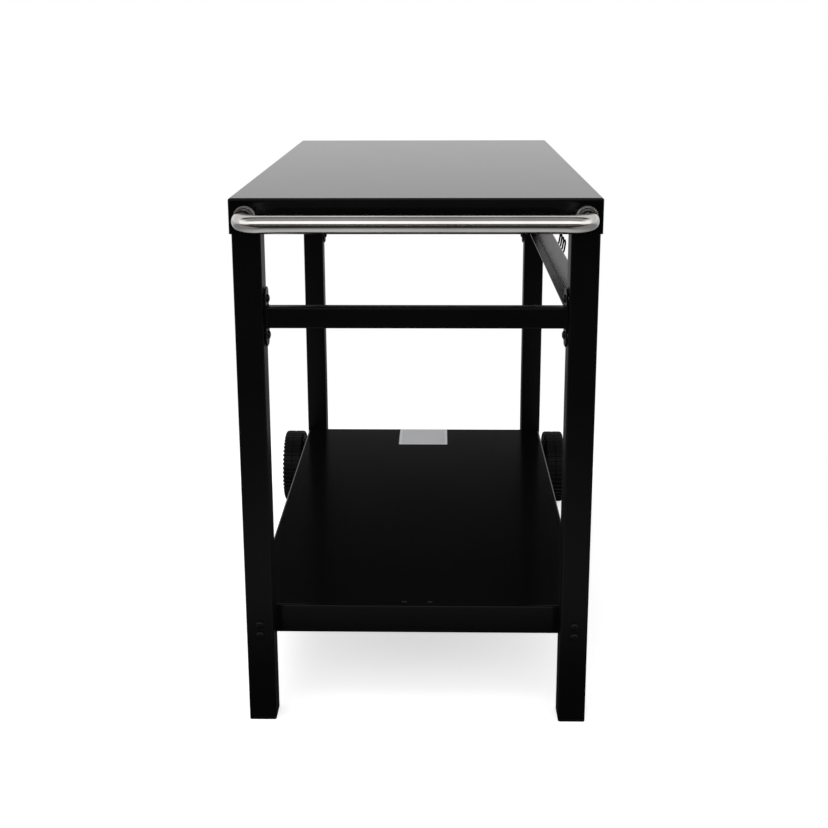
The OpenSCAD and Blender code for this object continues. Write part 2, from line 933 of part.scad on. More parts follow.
axle();
axle_spacers();
axle_washers();
axle_nuts();
wheel_rim(-1);  // wheel_left_rim
wheel_tyre(-1);  // wheel_left_tyre
wheel_rim(1);  // wheel_right_rim
wheel_tyre(1);  // wheel_right_tyre
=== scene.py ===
"""Dresses the grill cart for rendering.

The cart is a folded-sheet worktop and shelf on four square legs, with a stainless push handle, a tool rail
with wire hooks and two ribbed wheels. Each piece of the cart has a class that works its points out as numpy
grids, from the boxes of the CAD nodes, and skins them. Finishes are procedural. The studio has a pale floor,
a soft light from above and a surround whose brightness depends on the direction alone.
"""

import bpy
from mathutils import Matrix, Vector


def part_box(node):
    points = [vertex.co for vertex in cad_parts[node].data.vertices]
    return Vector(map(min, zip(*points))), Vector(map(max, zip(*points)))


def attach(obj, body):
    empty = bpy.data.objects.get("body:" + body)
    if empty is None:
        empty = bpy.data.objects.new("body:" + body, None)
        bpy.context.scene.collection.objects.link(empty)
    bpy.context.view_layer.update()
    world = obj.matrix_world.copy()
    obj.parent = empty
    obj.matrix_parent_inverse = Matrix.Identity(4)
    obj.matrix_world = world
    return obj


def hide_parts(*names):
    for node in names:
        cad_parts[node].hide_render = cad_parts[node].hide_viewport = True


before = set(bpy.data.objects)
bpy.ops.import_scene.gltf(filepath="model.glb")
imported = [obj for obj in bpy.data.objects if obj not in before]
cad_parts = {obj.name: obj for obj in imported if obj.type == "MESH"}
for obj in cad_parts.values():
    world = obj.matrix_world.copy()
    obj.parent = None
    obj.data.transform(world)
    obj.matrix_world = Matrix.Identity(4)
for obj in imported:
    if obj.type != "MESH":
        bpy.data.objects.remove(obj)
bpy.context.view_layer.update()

import logging
import math
from dataclasses import dataclass, field
from enum import Enum
from typing import Iterable, Sequence

import bmesh
import bpy
import numpy as np
from mathutils import Matrix, Vector

logging.basicConfig(level=logging.INFO, format="%(message)s")
log = logging.getLogger("grill_cart")

Piece = bpy.types.Object
Tree = bpy.types.NodeTree
Node = bpy.types.Node
Socket = bpy.types.NodeSocket
Input = Node | Socket | Sequence[float] | float
Pair = tuple[float, float]
Triple = tuple[float, float, float]

MM = 0.001
TURN = 2 * math.pi
BODY = "frame"
SIDES = (-1, 1)
WHITE = (1, 1, 1, 1)

# Sizes that the detailed pieces share, in metres
SHEET = 1.6 * MM
FOLD = 3.2 * MM
LEG_WALL = 1.8 * MM
LEG_CORNER = 3.2 * MM
BAR_WALL = 1.5 * MM
BAR_CORNER = 2.4 * MM
BOLT_SHANK = 3 * MM
HEAD_RADIUS = 6 * MM
HEAD_HEIGHT = 3.6 * MM
FLAT_HEAD_HEIGHT = 1.8 * MM
WIRE = 1.5 * MM
EDGE = 0.3 * MM
SMALLEST_CORNER = 0.02 * MM
MERGE = 0.002 * MM


# Grids of points

def full_turn(count: int) -> np.ndarray:
    """Evenly spaced angles round a circle, in radians, without the one that meets the first again."""
    return np.linspace(0, TURN, count + 1)[:-1]


def arc(centre: Sequence[float], radius: float, start: float, end: float, count: int) -> np.ndarray:
    """Points of a plane arc, centre + radius (cos a, sin a), with a from start to end in degrees."""
    angle = np.radians(np.linspace(start, end, count))
    return np.asarray(centre) + radius * np.stack([np.cos(angle), np.sin(angle)], axis=-1)


def ease(value: np.ndarray) -> np.ndarray:
    """The smooth step x^2 (3 - 2 x), with x held between 0 and 1."""
    x = np.clip(value, 0, 1)
    return x * x * (3 - 2 * x)


def run_length(path: np.ndarray) -> np.ndarray:
    """Length run from a path's start to each of its points."""
    return np.concatenate([[0], np.cumsum(np.linalg.norm(np.diff(path, axis=0), axis=1))])


def rounded_loop(width: float, length: float, radius: float, steps: int = 9) -> np.ndarray:
    """Closed anticlockwise loop round a rectangle with round corners, centred on the origin.

    Args:
        width: Size along the first axis.
        length: Size along the second axis.
        radius: Corner radius, taken as at least a hair.
        steps: Points on each corner.

    Returns:
        The loop's points.
    """
    radius = max(radius, SMALLEST_CORNER)
    across, up = width / 2 - radius, length / 2 - radius
    corners = [((across, up), 0), ((-across, up), 90), ((-across, -up), 180), ((across, -up), 270)]
    return np.concatenate([arc(centre, radius, start, start + 90, steps) for centre, start in corners])


def densify(loop: np.ndarray, step: float) -> np.ndarray:
    """Spaces a closed plane loop's points evenly.

    Args:
        loop: The loop's points.
        step: Wanted distance between points.

    Returns:
        The new points.
    """
    closed = np.concatenate([loop, loop[:1]])
    run = run_length(closed)
    places = np.linspace(0, run[-1], int(run[-1] / step) + 1)[:-1]
    return np.column_stack([np.interp(places, run, closed[:, axis]) for axis in range(2)])


def raise_loops(loops: Iterable[tuple[np.ndarray, float]]) -> np.ndarray:
    """Stacks plane loops of equal length at their heights, as a grid with one row for each loop."""
    return np.stack([np.column_stack([loop, np.full(len(loop), height)]) for loop, height in loops])


def inset_loops(width: float, length: float, corner: float, stations: Iterable[Pair]) -> np.ndarray:
    """Stacks loops by their insets and heights. At inset d the outline's corner radius r is r - d."""
    return raise_loops((rounded_loop(width - 2 * inset, length - 2 * inset, corner - inset), height)
                       for inset, height in stations)


def around(radius: float | np.ndarray, angle: np.ndarray, height: float | np.ndarray) -> np.ndarray:
    """Points (r cos a, r sin a, z) round the Z axis, from arrays that are broadcast together."""
    return np.stack(np.broadcast_arrays(radius * np.cos(angle), radius * np.sin(angle), height), axis=-1)


def lathe(profile: np.ndarray, sides: int) -> np.ndarray:
    """Turns rows of radius and height round the Z axis, as a grid with one row for each of them."""
    return around(profile[:, :1], full_turn(sides), profile[:, 1:])


def sweep(path: np.ndarray, radius: float | np.ndarray, up: Sequence[float], sides: int,
          closed: bool = False) -> np.ndarray:
    """Runs a circle along a plane path.

    A ring's points are p + r (n cos a + u sin a), with u the plane's normal and n square to u and the path.

    Args:
        path: The path's points.
        radius: The circle's radius, or one for each point.
        up: Normal of the path's plane.
        sides: Points round the circle.
        closed: Whether the path's end meets its start.

    Returns:
        A grid with one row for each point of the path.
    """
    if closed:
        tangent = np.roll(path, -1, axis=0) - np.roll(path, 1, axis=0)
    else:
        tangent = np.gradient(path, axis=0)
    tangent /= np.linalg.norm(tangent, axis=1, keepdims=True)
    up = np.asarray(up, dtype=float)
    normal = np.cross(up, tangent)
    angle = full_turn(sides)
    size = np.broadcast_to(np.asarray(radius, dtype=float), (len(path),))[:, None, None]
    ring = normal[:, None, :] * np.cos(angle)[None, :, None] + up * np.sin(angle)[None, :, None]
    return path[:, None, :] + size * ring


def round_ends(path: np.ndarray, radius: float, steps: int = 6,
               share: float = 0.98) -> tuple[np.ndarray, np.ndarray]:
    """Adds half balls to a wire's ends, as rings whose radius falls as r cos a while they move on by r sin a.

    Args:
        path: The wire's middle line.
        radius: The wire's radius.
        steps: Rings on each end.
        share: How much of the quarter turn they take, so that the last ring isn't a point.

    Returns:
        The longer path, and the radius at each of its points.
    """
    angle = np.linspace(0, math.pi / 2 * share, steps)[1:, None]
    first, last = path[0] - path[1], path[-1] - path[-2]
    head = path[0] + first / np.linalg.norm(first) * radius * np.sin(angle)
    tail = path[-1] + last / np.linalg.norm(last) * radius * np.sin(angle)
    fall = radius * np.cos(angle[:, 0])
    return (np.concatenate([head[::-1], path, tail]),
            np.concatenate([fall[::-1], np.full(len(path), radius), fall]))


def placed(grid: np.ndarray, origin: Sequence[float], axis: Sequence[float]) -> np.ndarray:
    """Moves a grid so that its Z axis points along a given direction.

    Args:
        grid: Points about the origin.
        origin: Where the grid's origin goes.
        axis: Where its Z axis goes.

    Returns:
        The moved points.
    """
    ahead = np.asarray(axis, dtype=float)
    upright = abs(ahead[2]) > 0.9
    side = np.cross([1.0, 0.0, 0.0] if upright else [0.0, 0.0, 1.0], ahead)
    side /= np.linalg.norm(side)
    return grid @ np.stack([side, np.cross(ahead, side), ahead]) + np.asarray(origin, dtype=float)


def put(name: str, data: bpy.types.ID) -> Piece:
    """Makes an object and puts it in the scene.

    Args:
        name: The object's name.
        data: Its mesh, lamp or camera.

    Returns:
        The object.
    """
    made = bpy.data.objects.new(name, data)
    bpy.context.scene.collection.objects.link(made)
    return made


@dataclass
class Skin:
    """Surfaces of one piece, gathered before they become a mesh."""

    points: list[np.ndarray] = field(default_factory=list)
    straight: list[np.ndarray] = field(default_factory=list)
    quads: list[np.ndarray] = field(default_factory=list)
    caps: list[list[int]] = field(default_factory=list)
    count: int = 0

    def add(self, grid: np.ndarray, ring: bool = False, straight: np.ndarray | None = None) -> "Skin":
        """Skins a grid. Each row is a closed loop, and faces join neighbouring rows.

        Args:
            grid: Points, rows by columns by three.
            ring: Whether the last row joins the first. Otherwise a flat cap closes each end.
            straight: The same points with the piece's bends straightened out, for textures.

        Returns:
            The skin itself.
        """
        rows, columns, _ = grid.shape
        index = np.arange(rows * columns).reshape(rows, columns) + self.count
        lower = index if ring else index[:-1]
        upper = np.roll(index, -1, axis=0) if ring else index[1:]
        corners = [lower, np.roll(lower, -1, axis=1), np.roll(upper, -1, axis=1), upper]
        self.quads.append(np.stack(corners, axis=-1).reshape(-1, 4))
        if not ring:
            self.caps += [index[0, ::-1].tolist(), index[-1].tolist()]
        self.points.append(grid.reshape(-1, 3))
        self.straight.append((grid if straight is None else straight).reshape(-1, 3))
        self.count += rows * columns
        return self

    def build(self, name: str, finish: "Finish", nodes: Sequence[str] = (), body: str = BODY,
              smooth: float = 35.0) -> Piece:
        """Makes the mesh and puts it in the scene.

        Args:
            name: The piece's name.
            finish: Its surface finish.
            nodes: The CAD nodes that it stands for.
            body: The CAD body that it moves with.
            smooth: Edges sharper than this angle, in degrees, stay sharp.

        Returns:
            The new object.
        """
        mesh = bpy.data.meshes.new(name)
        faces = np.concatenate(self.quads).tolist() + self.caps
        mesh.from_pydata(np.concatenate(self.points), [], faces)
        store = mesh.attributes.new("straight", "FLOAT_VECTOR", "POINT")
        store.data.foreach_set("vector", np.concatenate(self.straight).astype(np.float32).ravel())
        work = bmesh.new()
        work.from_mesh(mesh)
        bmesh.ops.remove_doubles(work, verts=work.verts, dist=MERGE)
        bmesh.ops.recalc_face_normals(work, faces=work.faces)
        work.to_mesh(mesh)
        work.free()
        mesh.shade_smooth()
        mesh.set_sharp_from_angle(angle=math.radians(smooth))
        mesh.materials.append(finish.material())
        piece = put(name, mesh)
        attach(piece, body)
        if nodes:
            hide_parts(*nodes)
        log.info("%s: %d points, %d faces, stands for %s", name, len(mesh.vertices), len(mesh.polygons),
                 ", ".join(nodes) or "no node")
        return piece


# Shader nodes

def empty_tree(owner: bpy.types.Material | bpy.types.World) -> Tree:
    """Turns on a material's or a world's nodes and clears them.

    Args:
        owner: The material or the world.

    Returns:
        Its empty node tree.
    """
    owner.use_nodes = True
    owner.node_tree.nodes.clear()
    return owner.node_tree


def add_node(tree: Tree, kind: str, *inputs: Input, **values: object) -> Node:
    """Adds a shader node, sets its properties, and sets or links its inputs.

    A node given as an input stands for its first output in use.

    Args:
        tree: The node tree.
        kind: The node's type, without the leading ShaderNode.
        inputs: Its first inputs, in order.
        values: Properties by name, and inputs by name with spaces as underscores.

    Returns:
        The node.
    """
    made = tree.nodes.new("ShaderNode" + kind)
    wanted = dict(enumerate(inputs))
    for key, value in values.items():
        if hasattr(made, key):
            setattr(made, key, value)
        else:
            wanted[key.replace("_", " ")] = value
    for key, value in wanted.items():
        if isinstance(value, Node):
            value = next(output for output in value.outputs if output.enabled)
        if isinstance(value, Socket):
            tree.links.new(value, made.inputs[key])
        else:
            made.inputs[key].default_value = value
    return made


def calculate(tree: Tree, operation: str, *values: Input) -> Node:
    """Works one number out of others."""
    return add_node(tree, "Math", *values, operation=operation)


def smooth_step(tree: Tree, value: Input, low: float, high: float) -> Node:
    """Rises smoothly from 0 to 1 as a value goes from low to high."""
    return add_node(tree, "MapRange", value, low, high, interpolation_type="SMOOTHSTEP")


def spread(tree: Tree, noise: Input, low: Input, high: Input) -> Node:
    """Takes the usual range of a noise, 0.3 to 0.7, onto a wanted one."""
    return add_node(tree, "MapRange", noise, 0.3, 0.7, low, high)


def stretched_noise(tree: Tree, coordinates: Socket, factors: Triple, scale: float, detail: float) -> Node:
    """Noise, about 0 to 1, on coordinates that are first multiplied by a factor along each axis."""
    stretched = add_node(tree, "VectorMath", coordinates, factors, operation="MULTIPLY")
    return add_node(tree, "TexNoise", Vector=stretched, Scale=scale, Detail=detail, Roughness=0.55)


class Effect(Enum):
    """Surface textures that the finishes share, by the names of their node groups."""

    ORANGE_PEEL = "orange_peel"
    BRUSHED = "brushed_grain"
    MOULDED = "moulded_skin"
    ROLLED = "rolled_metal"


BUMP_HEIGHT = 0.2 * MM
EVENLY = (1, 1, 1)
# Factors along the axes, scale and octaves of the broad noise and of each effect's fine one
BROAD_NOISE = (EVENLY, 9, 3)
FINE_NOISE = {
    Effect.ORANGE_PEEL: (EVENLY, 620, 2),
    Effect.BRUSHED: ((1, 1, 0.02), 5200, 2),
    Effect.MOULDED: (EVENLY, 1500, 3),
    Effect.ROLLED: ((1, 0.08, 1), 900, 3),
}


def texture_group(effect: Effect) -> Tree:
    """Builds the node group of one effect, once.

    Every group takes Color, Roughness, Vary and Depth, and gives Color, Roughness and Normal. Broad noise
    varies the colour and the roughness by a few parts in a hundred, and fine noise lifts the bump. Brushed
    grain runs along the straightened piece, and its fine noise varies the roughness too.

    Args:
        effect: Which effect.

    Returns:
        The node group.
    """
    if effect.value in bpy.data.node_groups:
        return bpy.data.node_groups[effect.value]
    tree = bpy.data.node_groups.new(effect.value, "ShaderNodeTree")
    for label, kind in (("Color", "Color"), ("Roughness", "Float"), ("Vary", "Float"), ("Depth", "Float")):
        tree.interface.new_socket(label, in_out="INPUT", socket_type="NodeSocket" + kind)
    for label, kind in (("Color", "Color"), ("Roughness", "Float"), ("Normal", "Vector")):
        tree.interface.new_socket(label, in_out="OUTPUT", socket_type="NodeSocket" + kind)
    given = tree.nodes.new("NodeGroupInput").outputs
    result = tree.nodes.new("NodeGroupOutput").inputs
    brushed = effect is Effect.BRUSHED
    place = add_node(tree, "TexCoord").outputs["Object"]
    grain = add_node(tree, "Attribute", attribute_name="straight").outputs["Vector"] if brushed else place
    fine = stretched_noise(tree, grain, *FINE_NOISE[effect])
    low = calculate(tree, "SUBTRACT", 1.0, given["Vary"])
    high = calculate(tree, "ADD", 1.0, given["Vary"])
    factor = spread(tree, stretched_noise(tree, place, *BROAD_NOISE), low, high)
    tint = add_node(tree, "Mix", data_type="RGBA", blend_type="MULTIPLY",
                    Factor=1.0, A=given["Color"], B=factor)
    change = spread(tree, fine, low, high) if brushed else factor
    rough = calculate(tree, "MULTIPLY", given["Roughness"], change)
    bump = add_node(tree, "Bump", Distance=BUMP_HEIGHT, Strength=given["Depth"], Height=fine)
    tree.links.new(tint.outputs["Result"], result["Color"])
    tree.links.new(rough.outputs["Value"], result["Roughness"])
    tree.links.new(bump.outputs["Normal"], result["Normal"])
    return tree


# Finishes

@dataclass(frozen=True)
class Finish:
    """A surface finish. Colours are linear, and numbers are those of the shader."""

    name: str
    slot: str
    colour: Triple
    roughness: float
    effect: Effect
    vary: float = 0.08
    depth: float = 0.05
    metallic: float = 0.0
    specular: float = 0.5
    anisotropy: float = 0.0

    def material(self) -> bpy.types.Material:
        """Makes the finish's material, once.

        Returns:
            The material.
        """
        if self.name in bpy.data.materials:
            return bpy.data.materials[self.name]
        material = bpy.data.materials.new(self.name)
        material.use_nodes = True
        tree = material.node_tree
        texture = add_node(tree, "Group", node_tree=texture_group(self.effect), Color=(*self.colour, 1.0),
                           Roughness=self.roughness, Vary=self.vary, Depth=self.depth)
        shader = tree.nodes["Principled BSDF"].inputs
        shader["Metallic"].default_value = self.metallic
        shader["Specular IOR Level"].default_value = self.specular
        shader["Anisotropic"].default_value = self.anisotropy
        tree.links.new(texture.outputs["Color"], shader["Base Color"])
        tree.links.new(texture.outputs["Roughness"], shader["Roughness"])
        tree.links.new(texture.outputs["Normal"], shader["Normal"])
        return material


SHEET_COAT = Finish("sheet_coat", "black_sheet_coat", (0.0012, 0.0012, 0.0013), 0.15, Effect.ORANGE_PEEL,
                    vary=0.025, depth=0.03, specular=0.12)
POWDER_COAT = Finish("powder_coat", "black_powder_coat", (0.001, 0.001, 0.001), 0.34, Effect.ORANGE_PEEL,
                     depth=0.08, specular=0.12)
# A lighter copy of the black powder coat for the tool rail: its greyer colour is painted sheen, the light the
# rail catches, and its reflection is set stronger than the legs' coat.
RAIL_COAT_PAINTED_SHEEN = Finish("rail_coat_painted_sheen", "black_powder_coat", (0.006, 0.006, 0.0062), 0.25, Effect.ORANGE_PEEL,
                   depth=0.1, specular=0.55)
STAINLESS = Finish("stainless", "brushed_stainless", (0.62, 0.60, 0.58), 0.14, Effect.BRUSHED,
                   vary=0.12, depth=0.03, metallic=1.0, anisotropy=0.2)
# A darker copy of the brushed stainless for the ferrules, with a rolled grain: its darker colour is painted
# shade.
TURNED_STEEL_PAINTED_SHADE = Finish("turned_steel_painted_shade", "brushed_stainless", (0.27, 0.265, 0.26), 0.24, Effect.ROLLED,
                      vary=0.12, metallic=1.0)
BLACK_OXIDE = Finish("black_oxide", "black_fastener", (0.0014, 0.0014, 0.0015), 0.32, Effect.ROLLED,
                     vary=0.1, depth=0.04, specular=0.16)
ZINC = Finish("zinc", "zinc_steel", (0.55, 0.56, 0.58), 0.35, Effect.ROLLED,
              vary=0.12, depth=0.08, metallic=1.0)
PLASTIC = Finish("plastic", "black_plastic", (0.0015, 0.0015, 0.0016), 0.4, Effect.MOULDED,
                 depth=0.12, specular=0.25)
RUBBER = Finish("rubber", "tyre_rubber", (0.0012, 0.0012, 0.0012), 0.46, Effect.MOULDED,
                vary=0.15, depth=0.2, specular=0.14)
FOIL = Finish("foil", "silver_label", (0.76, 0.76, 0.77), 0.38, Effect.ROLLED,
              vary=0.03, depth=0.03, metallic=0.3)
FOIL_FACE = Finish("foil_face", "silver_label", (0.63, 0.63, 0.645), 0.42, Effect.ROLLED,
                   vary=0.03, depth=0.03, metallic=0.3)


# The cart's plan, read from the CAD nodes

@dataclass(frozen=True)
class Box:
    """A node's box, in metres."""

    low: Vector
    high: Vector

    @classmethod
    def of(cls, node: str) -> "Box":
        """Reads a node's box."""
        low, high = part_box(node)
        return cls(low, high)

    @property
    def middle(self) -> Vector:
        """The box's centre."""
        return (self.low + self.high) / 2

    @property
    def size(self) -> Vector:
        """The box's size along each axis."""
        return self.high - self.low


@dataclass(frozen=True)
class Bolts:
    """One node's domed bolts with hexagon sockets, all alike."""

    node: str
    length: float
    head: float = HEAD_HEIGHT
    collar: float = 0.5 * MM
    socket: float = 2 * MM

    def build(self, places: Iterable[tuple[Triple, Triple]]) -> Piece:
        """Skins each bolt as one stack of loops: shank, collar, dome and socket.

        The dome's height is h sqrt(1 - (r / R)^2)^0.9 above a short collar. The socket's loops are hexagons,
        s / cos(a mod 60 degrees - 30 degrees) with s half the distance between two sides.

        Args:
            places: Where each bolt's head sits, and which way it points.

        Returns:
            The piece.
        """
        angle = full_turn(48)
        circle = np.stack([np.cos(angle), np.sin(angle)], axis=-1)
        hexagon = circle / np.cos(np.mod(angle, math.pi / 3) - math.pi / 6)[:, None]
        dome, chamfer, mouth, bevel = self.head - self.collar, 0.2 * MM, 0.25 * MM, 0.15 * MM
        loops = [(circle * (BOLT_SHANK - EDGE), -self.length), (circle * BOLT_SHANK, -self.length + EDGE),
                 (circle * BOLT_SHANK, 0.0), (circle * HEAD_RADIUS, 0.0),
                 (circle * HEAD_RADIUS, self.collar - chamfer)]
        loops += [(circle * HEAD_RADIUS * part, self.collar + dome * math.sqrt(1 - part ** 2) ** 0.9)
                  for part in np.linspace(0.985, 0.5, 9)]
        rim = loops[-1][1]
        loops += [(hexagon * (self.socket + mouth), rim + bevel), (hexagon * self.socket, rim - bevel),
                  (hexagon * self.socket, self.head / 3)]
        stack, skin = raise_loops(loops), Skin()
        for seat, axis in places:
            skin.add(placed(stack, seat, axis))
        return skin.build("fine_" + self.node, BLACK_OXIDE, [self.node])


@dataclass(frozen=True)
class Pan:
    """A sheet tray, open below, with folded edges and round corners."""

    node: str
    strip: float = 1.5 * MM

    def build(self) -> Piece:
        """Skins the pan from the middle of its top, over the fold, down the apron and back up inside.

        A loop at inset d has corner radius r - d, so each corner is part of a ball.

        Returns:
            The piece.
        """
        box = Box.of(self.node)
        width, length, height = box.size
        past_fold = FOLD + self.strip
        stations = np.concatenate([
            [(past_fold, 0)], FOLD - FOLD * arc((0, 0), 1, 0, 90, 11)[::-1],
            [(0, past_fold), (0, height - EDGE), (EDGE, height)],
            [(SHEET - EDGE, height), (SHEET, height - EDGE), (SHEET, past_fold)],
            FOLD - (FOLD - SHEET) * arc((0, 0), 1, 0, 90, 7)])
        stations[:, 1] = box.high.z - stations[:, 1]
        grid = inset_loops(width, length, FOLD, stations) + (box.middle.x, box.middle.y, 0)
        return Skin().add(grid).build("fine_" + self.node, SHEET_COAT, [self.node])


@dataclass(frozen=True)
class SquareTube:
    """A square or oblong tube along Z or X with round corners."""

    node: str
    wall: float
    corner: float
    axis: int
    edge: float = 0.2 * MM

    def build(self) -> Piece:
        """Skins the tube up its outside and back down its inside.

        Returns:
            The piece.
        """
        box = Box.of(self.node)
        order = [axis for axis in range(3) if axis != self.axis] + [self.axis]
        width, height, length = (box.size[axis] for axis in order)
        edge, half, wall = self.edge, length / 2, self.wall
        stations = [(edge, -half), (0, edge - half), (0, half - edge), (edge, half), (wall - edge, half),
                    (wall, half - edge), (wall, edge - half), (wall - edge, -half)]
        grid = inset_loops(width, height, self.corner, stations)[..., np.argsort(order)]
        return Skin().add(grid + np.asarray(box.middle), ring=True).build(
            "fine_" + self.node, POWDER_COAT, [self.node])


@dataclass(frozen=True)
class LegCap:
    """A plastic sole with its hollow plug."""

    node: str
    sole: float = 4 * MM
    edge: float = 0.8 * MM
    plug_gap: float = 0.1 * MM
    plug_wall: float = 3 * MM

    def build(self) -> Piece:
        """Skins the sole with a small round edge, and the plug that pushes up into the tube.

        Returns:
            The piece.
        """
        box = Box.of(self.node)
        width, length, height = box.size
        outside = LEG_WALL + self.plug_gap
        inside = outside + self.plug_wall
        stations = np.concatenate([
            self.edge - self.edge * arc((0, 0), 1, 90, 0, 5),
            [(0, self.sole), (outside, self.sole), (outside, height - EDGE), (outside + EDGE, height),
             (inside, height), (inside, self.sole)]])
        grid = inset_loops(width, length, LEG_CORNER, stations)
        grid += (box.middle.x, box.middle.y, box.low.z)
        return Skin().add(grid).build("fine_" + self.node, PLASTIC, [self.node])


@dataclass(frozen=True)
class Ferrule:
    """A stepped ferrule round the handle's tube, where it meets the apron."""

    node: str
    tube: float
    step: float = 13.7 * MM
    edge: float = 0.5 * MM
    fillet: float = 0.2 * MM
    gap: float = 0.1 * MM
    wide_back: float = 0.4 * MM
    groove: float = 0.55 * MM
    groove_width: float = 0.3 * MM
    lip: float = 1.3 * MM
    lip_radius: float = 0.35 * MM
    lip_width: float = 0.8 * MM

    def build(self) -> Piece:
        """Skins a wide ring, a narrower one, a fine groove, and a lip that is cut back to the tube.

        Returns:
            The piece.
        """
        box = Box.of(self.node)
        outer, height, bore = box.size.x / 2, box.size.y, self.tube + self.gap
        step, edge, neck = self.step, self.edge, self.step - self.groove
        low, high = height / 2 - self.wide_back, height - self.lip
        profile = np.concatenate([
            [(bore, 0.0), (outer, 0.0)], arc((outer - edge, low - edge), edge, 0, 90, 6),
            [(step + self.fillet, low), (step, low + self.fillet)],
            arc((step - edge, high - edge), edge, 0, 90, 6),
            [(neck, high), (neck, high + self.groove_width)],
            arc((step - edge, height - self.lip_radius), self.lip_radius, -60, 90, 8),
            [(step - self.lip_width, height), (bore + self.gap, high + self.gap), (bore, high)]])
        grid = placed(lathe(profile, 96), (box.middle.x, box.high.y, box.middle.z), (0, -1, 0))
        # The ferrule takes the darker copy of the stainless, whose darker colour is painted shade.
        return Skin().add(grid, ring=True).build("fine_" + self.node, TURNED_STEEL_PAINTED_SHADE, [self.node])


@dataclass(frozen=True)
class Handle:
    """The push handle: a bent tube and its ferrules."""

    bend: float = 36 * MM
    sides: int = 72

    def middle_line(self) -> np.ndarray:
        """The tube's middle line from one apron end to the other.

        Returns:
            The path's points.
        """
        box, bend = Box.of("handle_tube"), self.bend
        radius = box.size.z / 2
        reach, bar = box.high.x - radius, box.low.y + radius
        end = np.linspace((reach, box.high.y), (reach, bar + bend), 6)[:-1]
        half = np.concatenate([end, arc((reach - bend, bar + bend), bend, 0, -90, 25)])
        middle = np.linspace((reach - bend, bar), (bend - reach, bar), 20)[1:-1]
        flat = np.concatenate([half, middle, half[::-1] * (-1, 1)])
        return np.column_stack([flat, np.full(len(flat), box.middle.z)])

    def build(self) -> list[Piece]:
        """Skins the tube and the ferrules.

        Returns:
            The pieces.
        """
        path, radius = self.middle_line(), Box.of("handle_tube").size.z / 2
        straight = around(radius, full_turn(self.sides), run_length(path)[:, None])
        tube = Skin().add(sweep(path, radius, (0, 0, 1), self.sides), straight=straight)
        return [tube.build("fine_handle_tube", STAINLESS, ["handle_tube"]),
                *(Ferrule("handle_ferrule_" + side, radius).build() for side in ("left", "right"))]


@dataclass(frozen=True)
class Hook:
    """A wire hook on its weld pad, leaning out of the rail."""

    node: str
    bend: float = 12 * MM
    rise: float = 8.9 * MM
    curl: float = 17.5 * MM
    turn: float = 26.5
    lean: float = 9.0
    pad: float = 4.5 * MM
    pad_depth: float = 1.5 * MM
    pad_edge: float = 0.4 * MM
    sunk: float = 0.5 * MM

    def build(self) -> Piece:
        """Skins the pad, a weld fillet and the wire: an arc out and up, a straight rise and an inward curl.

        Returns:
            The piece.
        """
        box = Box.of(self.node)
        root = (box.low.x, box.middle.y, box.low.z + self.pad)
        start, edge, fillet = self.pad_depth + self.bend, self.pad_edge, WIRE * 0.9
        line = np.concatenate([
            [(self.sunk, 0.0)],
            arc((self.pad_depth, self.bend), self.bend, -90, 0, 20),
            [(start, self.bend + part * self.rise) for part in (0.35, 0.7)],
            arc((start - self.curl, self.bend + self.rise), self.curl, 0, self.turn, 12)])
        lean = math.radians(self.lean)
        x = line[:, 0] * math.cos(lean) + line[:, 1] * math.sin(lean)
        z = line[:, 1] * math.cos(lean) - line[:, 0] * math.sin(lean)
        wire, radius = round_ends(np.column_stack([x, np.zeros(len(x)), z]) + root, WIRE)
        profile = np.concatenate([
            [(self.pad, 0.0)], arc((self.pad - edge, self.pad_depth - edge), edge, 0, 90, 5),
            arc((WIRE * 2, self.pad_depth + fillet), fillet, -90, -180, 6)])
        skin = Skin().add(sweep(wire, radius, (0, 1, 0), 24))
        skin.add(placed(lathe(profile, 40), root, (1, 0, 0)))
        return skin.build("fine_" + self.node, POWDER_COAT, [self.node], smooth=50)


